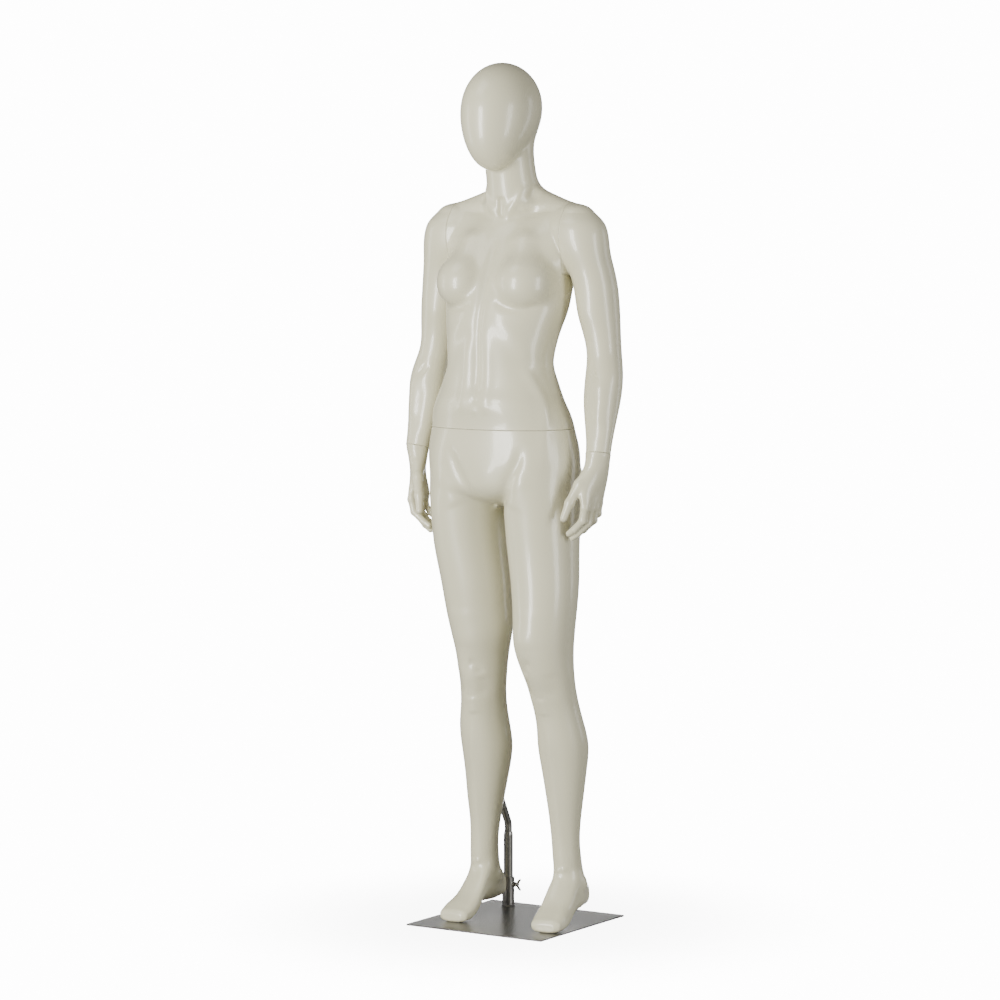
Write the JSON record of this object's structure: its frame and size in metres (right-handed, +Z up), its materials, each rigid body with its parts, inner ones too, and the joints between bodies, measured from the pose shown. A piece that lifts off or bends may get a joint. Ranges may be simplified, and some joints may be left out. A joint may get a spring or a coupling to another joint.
{
  "type": "full body mannequin",
  "caption": "Standing full-length display figure with faceless egg head, twist-lock arms and waist, peg-jointed hands, and a cranked calf rod clamped to a square steel base plate.",
  "frame": {"origin": "centre of the base plate's underside, where it stands on the floor", "axes": "+Z up, -Y the way the figure faces, +X its own left"},
  "size_m": [0.5066, 0.33, 1.78],
  "materials": {
    "moulded_shell": "gloss cream paint over moulded fibreglass",
    "plate_steel": "satin",
    "rod_steel": "polished",
    "fitting_steel": "zinc plated",
    "peg_plastic": "moulded"
  },
  "bodies": {
    "base": {"base_plate": "plate_steel", "post_socket": "plate_steel", "clamp_nut": "rod_steel"},
    "clamp_screw": {"wing_screw": "rod_steel"},
    "post": {"post_tube": "rod_steel"},
    "rod": {"crank_rod": "rod_steel"},
    "legs": {"pelvis_shell": "moulded_shell", "left_leg_shell": "moulded_shell", "right_leg_shell": "moulded_shell", "calf_socket": "fitting_steel", "waist_stud_plate": "fitting_steel", "waist_stud": "fitting_steel", "waist_stud_plate_screws": "fitting_steel"},
    "torso": {"midriff_shell": "moulded_shell", "chest_shell": "moulded_shell", "head_shell": "moulded_shell", "waist_slot_plate": "fitting_steel", "waist_slot_plate_screws": "fitting_steel", "left_shoulder_slot_plate": "fitting_steel", "left_shoulder_slot_plate_screws": "fitting_steel", "right_shoulder_slot_plate": "fitting_steel", "right_shoulder_slot_plate_screws": "fitting_steel"},
    "left_arm": {"left_arm_shell": "moulded_shell", "left_arm_stud_plate": "fitting_steel", "left_arm_stud": "fitting_steel", "left_arm_stud_plate_screws": "fitting_steel", "left_wrist_bush": "peg_plastic"},
    "left_hand": {"left_hand": "moulded_shell", "left_wrist_peg": "peg_plastic"},
    "right_arm": {"right_arm_shell": "moulded_shell", "right_arm_stud_plate": "fitting_steel", "right_arm_stud": "fitting_steel", "right_arm_stud_plate_screws": "fitting_steel", "right_wrist_bush": "peg_plastic"},
    "right_hand": {"right_hand": "moulded_shell", "right_wrist_peg": "peg_plastic"}
  },
  "joints": [
    {"name": "clamp_screw_turn", "type": "hinge", "parent": "base", "child": "clamp_screw", "pos_m": [-0.0795, 0.124, 0.05], "axis": [1, 0, 0], "range_deg": [0, 720]},
    {"name": "post_height", "type": "slide", "parent": "base", "child": "post", "axis": [0, 0, 1], "range_m": [0, 0.035]},
    {"name": "rod_turn", "type": "hinge", "parent": "post", "child": "rod", "pos_m": [-0.098, 0.124, 0.15], "axis": [0, 0, 1], "range_deg": [-25, 25]},
    {"name": "figure_lift", "type": "slide", "parent": "rod", "child": "legs", "axis": [0, -0.4695, 0.8829], "range_m": [0, 0.09]},
    {"name": "waist_twist", "type": "hinge", "parent": "legs", "child": "torso", "pos_m": [-0.014, -0.026, 1.0335], "axis": [0, 0, 1], "range_deg": [0, 60]},
    {"name": "left_arm_swing", "type": "hinge", "parent": "torso", "child": "left_arm", "pos_m": [0.127, 0.01, 1.428], "axis": [-1, 0, 0], "range_deg": [-30, 120]},
    {"name": "right_arm_swing", "type": "hinge", "parent": "torso", "child": "right_arm", "pos_m": [-0.147, 0.01, 1.428], "axis": [-1, 0, 0], "range_deg": [0, 120]},
    {"name": "left_hand_turn", "type": "hinge", "parent": "left_arm", "child": "left_hand", "pos_m": [0.211, -0.02, 0.985], "axis": [0.0637, -0.2511, -0.9659], "range_deg": [-30, 30]},
    {"name": "right_hand_turn", "type": "hinge", "parent": "right_arm", "child": "right_hand", "pos_m": [-0.231, -0.02, 0.985], "axis": [-0.0637, -0.2511, -0.9659], "range_deg": [-18, 9]}
  ]
}
